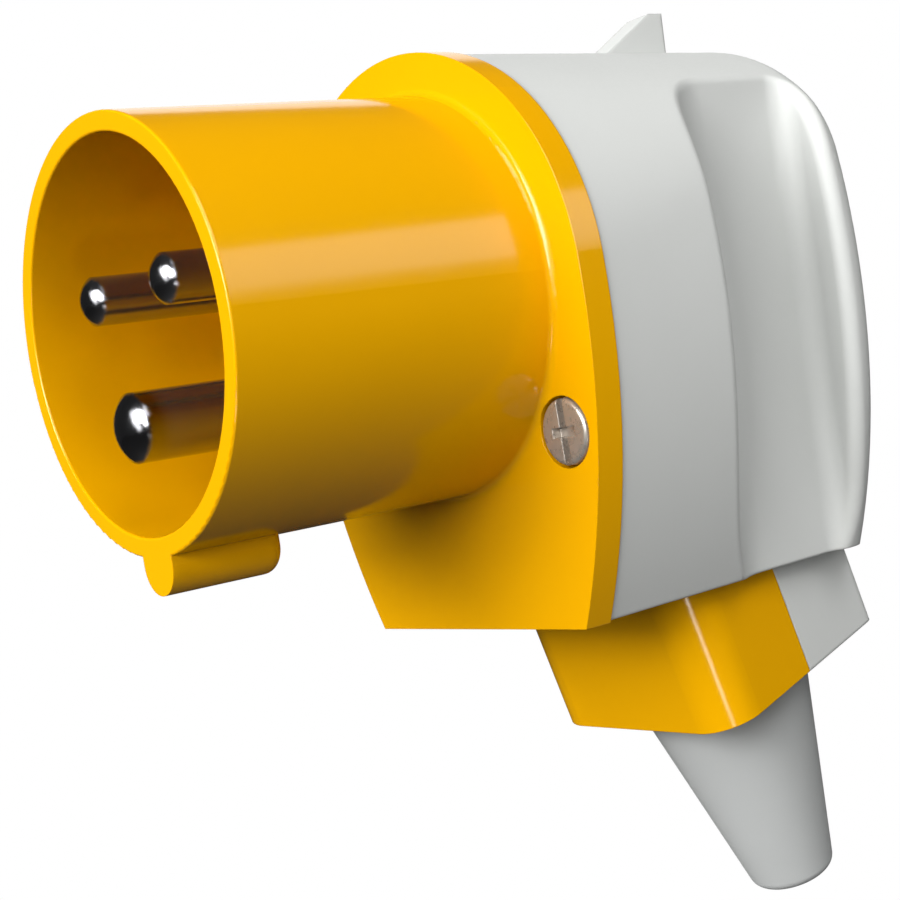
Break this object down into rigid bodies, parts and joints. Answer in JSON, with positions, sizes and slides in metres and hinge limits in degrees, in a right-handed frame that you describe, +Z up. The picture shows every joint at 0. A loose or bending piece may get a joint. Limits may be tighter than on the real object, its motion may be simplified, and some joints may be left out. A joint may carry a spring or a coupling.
{
  "type": "right-angle industrial plug",
  "caption": "Right-angle industrial pin plug: yellow shroud and flange, grey housing with side grips, tilted neck and grey bend relief sleeve.",
  "frame": {"origin": "centre of the shroud's front rim, on the axis of the pin circle", "axes": "-Y the way the pins point, +Y towards the back of the housing, +Z up, cable leaves towards -Z"},
  "size_m": [0.0526, 0.0867, 0.107],
  "materials": {
    "yellow_plastic": "satin moulded",
    "grey_plastic": "fine matte moulded",
    "grey_rubber": "smooth soft rubber",
    "plated_pin": "polished nickel plate",
    "dark_plastic": "plain moulded",
    "plain_steel": "zinc plated",
    "bright_steel": "bright nickel plate",
    "insert_brass": "turned",
    "seal_rubber": "matte"
  },
  "bodies": {
    "root": {"front_body": "yellow_plastic", "housing": "grey_plastic", "bend_relief_sleeve": "grey_rubber", "line_pin": "plated_pin", "neutral_pin": "plated_pin", "earth_pin": "plated_pin", "contact_carrier": "dark_plastic", "line_terminal_screw": "plain_steel", "neutral_terminal_screw": "plain_steel", "earth_terminal_screw": "plain_steel", "carrier_screw_left": "plain_steel", "carrier_screw_right": "plain_steel", "housing_seal": "seal_rubber", "housing_screw_left": "bright_steel", "housing_screw_right": "bright_steel", "thread_insert_left": "insert_brass", "thread_insert_right": "insert_brass", "cable_clamp_bar": "grey_plastic", "clamp_screw_left": "plain_steel", "clamp_screw_right": "plain_steel"}
  },
  "joints": []
}
